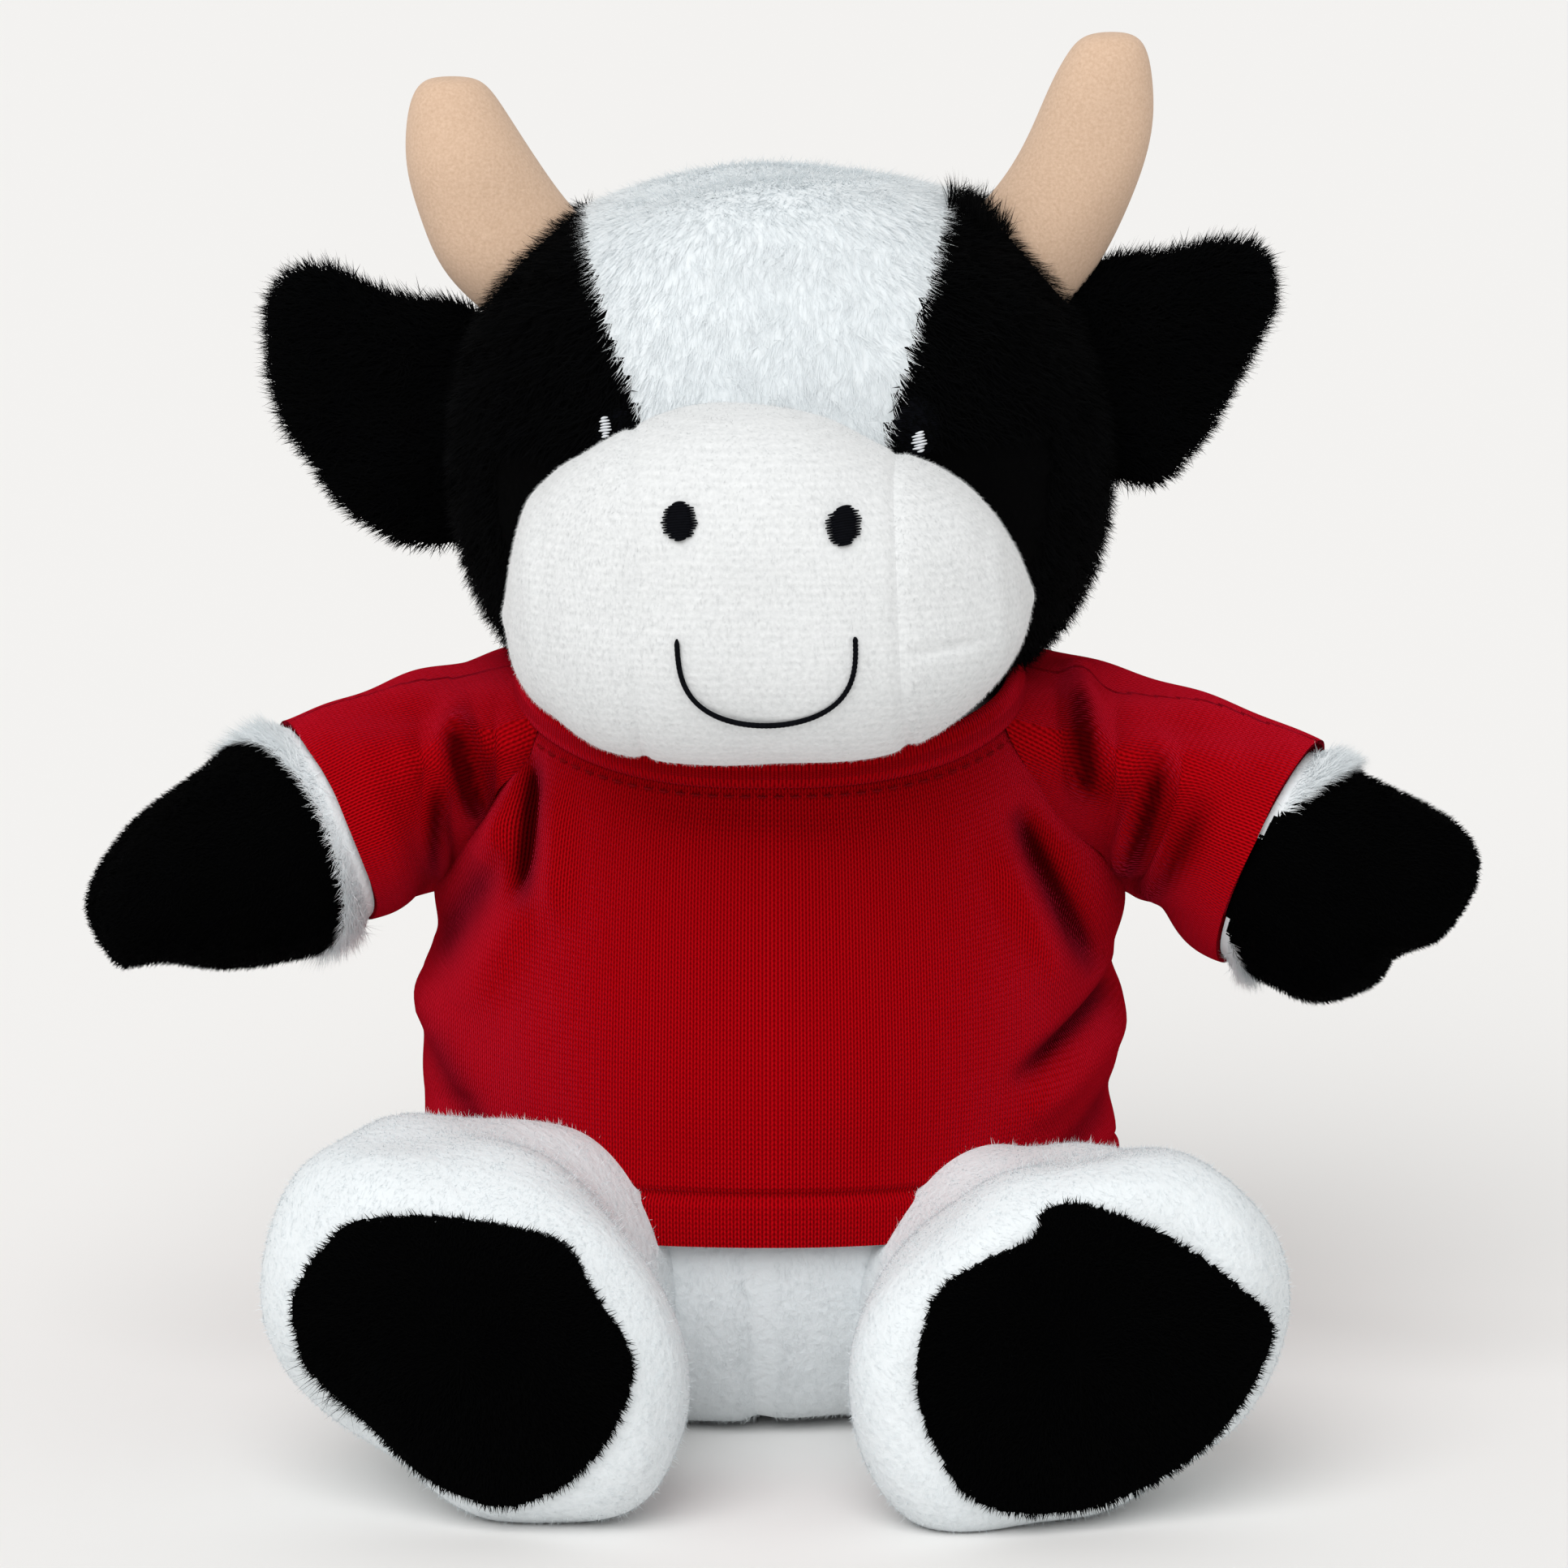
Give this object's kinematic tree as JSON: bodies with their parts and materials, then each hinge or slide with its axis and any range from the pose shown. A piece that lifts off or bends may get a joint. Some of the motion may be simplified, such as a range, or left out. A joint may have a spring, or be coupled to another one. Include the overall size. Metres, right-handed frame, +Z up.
{
  "type": "plush cow",
  "caption": "Seated plush cow with horns, a wide muzzle, hoofed limbs and a plain T-shirt, its head and limbs sewn on so that they turn.",
  "frame": {"origin": "on the floor under the middle of the seat", "axes": "+Z up, the face toward -Y; left and right are the viewer's, seen from the front, so left is -X"},
  "size_m": [0.2031, 0.1721, 0.2046],
  "materials": {
    "white_pile": "short fluffy pile, matt",
    "black_pile": "short fluffy pile, matt",
    "white_nap": "very short brushed nap",
    "red_jersey": "knitted cotton jersey",
    "tan_velboa": "fine velvet nap",
    "dark_thread": "satin stitch",
    "pale_thread": "satin stitch",
    "fibre_fill": "polyester fibre filling"
  },
  "bodies": {
    "torso": {"torso_front_left": "white_pile", "torso_front_right": "white_pile", "torso_back": "white_pile", "torso_stuffing": "fibre_fill", "shirt_front": "red_jersey", "shirt_back": "red_jersey", "collar": "red_jersey"},
    "head": {"blaze": "white_pile", "head_side_left": "black_pile", "head_side_right": "black_pile", "head_stuffing": "fibre_fill", "muzzle_centre": "white_nap", "muzzle_cheek_left": "white_nap", "muzzle_cheek_right": "white_nap", "nostril_left": "dark_thread", "nostril_right": "dark_thread", "eye_left": "dark_thread", "eye_right": "dark_thread", "eye_glint_left": "pale_thread", "eye_glint_right": "pale_thread", "smile": "dark_thread", "horn_left": "tan_velboa", "horn_right": "tan_velboa", "horn_stuffing_left": "fibre_fill", "horn_stuffing_right": "fibre_fill"},
    "arm_left": {"sleeve_left": "red_jersey", "arm_skin_left": "white_pile", "hoof_mitt_left": "black_pile", "arm_stuffing_left": "fibre_fill"},
    "arm_right": {"sleeve_right": "red_jersey", "arm_skin_right": "white_pile", "hoof_mitt_right": "black_pile", "arm_stuffing_right": "fibre_fill"},
    "leg_left": {"leg_skin_left": "white_pile", "sole_pad_left": "black_pile", "leg_stuffing_left": "fibre_fill"},
    "leg_right": {"leg_skin_right": "white_pile", "sole_pad_right": "black_pile", "leg_stuffing_right": "fibre_fill"},
    "ear_left": {"ear_front_left": "black_pile", "ear_back_left": "black_pile"},
    "ear_right": {"ear_front_right": "black_pile", "ear_back_right": "black_pile"},
    "tail": {"tail_cord": "white_pile", "tail_tuft": "black_pile"}
  },
  "joints": [
    {"name": "neck_turn", "type": "hinge", "parent": "torso", "child": "head", "pos_m": [0.003, 0, 0.1035], "axis": [-0.0436, 0, 0.999], "range_deg": [-15, 15], "stiffness_Nm_per_rad": 0.1},
    {"name": "arm_raise_left", "type": "hinge", "parent": "torso", "child": "arm_left", "pos_m": [-0.0465, -0.008, 0.094], "axis": [-0.2419, 0.9703, 0], "range_deg": [-8, 25], "stiffness_Nm_per_rad": 0.2},
    {"name": "arm_raise_right", "type": "hinge", "parent": "torso", "child": "arm_right", "pos_m": [0.0465, -0.008, 0.094], "axis": [-0.2419, -0.9703, 0], "range_deg": [-8, 25], "stiffness_Nm_per_rad": 0.2},
    {"name": "leg_open_left", "type": "hinge", "parent": "torso", "child": "leg_left", "pos_m": [-0.029, -0.02, 0.0251], "axis": [0, 0, -1], "range_deg": [-5, 14], "stiffness_Nm_per_rad": 0.15},
    {"name": "leg_open_right", "type": "hinge", "parent": "torso", "child": "leg_right", "pos_m": [0.029, -0.02, 0.0251], "axis": [0, 0, 1], "range_deg": [-5, 14], "stiffness_Nm_per_rad": 0.15},
    {"name": "ear_flop_left", "type": "hinge", "parent": "head", "child": "ear_left", "pos_m": [-0.04424, 0.00658, 0.14698], "axis": [-0.0436, 0, 0.999], "range_deg": [-12, 12], "stiffness_Nm_per_rad": 0.01},
    {"name": "ear_flop_right", "type": "hinge", "parent": "head", "child": "ear_right", "pos_m": [0.04662, 0.00341, 0.15095], "axis": [-0.0436, 0, 0.999], "range_deg": [-12, 12], "stiffness_Nm_per_rad": 0.01},
    {"name": "tail_swing", "type": "hinge", "parent": "torso", "child": "tail", "pos_m": [0, 0.0405, 0.0235], "axis": [0, 0, 1], "range_deg": [-20, 20], "stiffness_Nm_per_rad": 0.01}
  ]
}
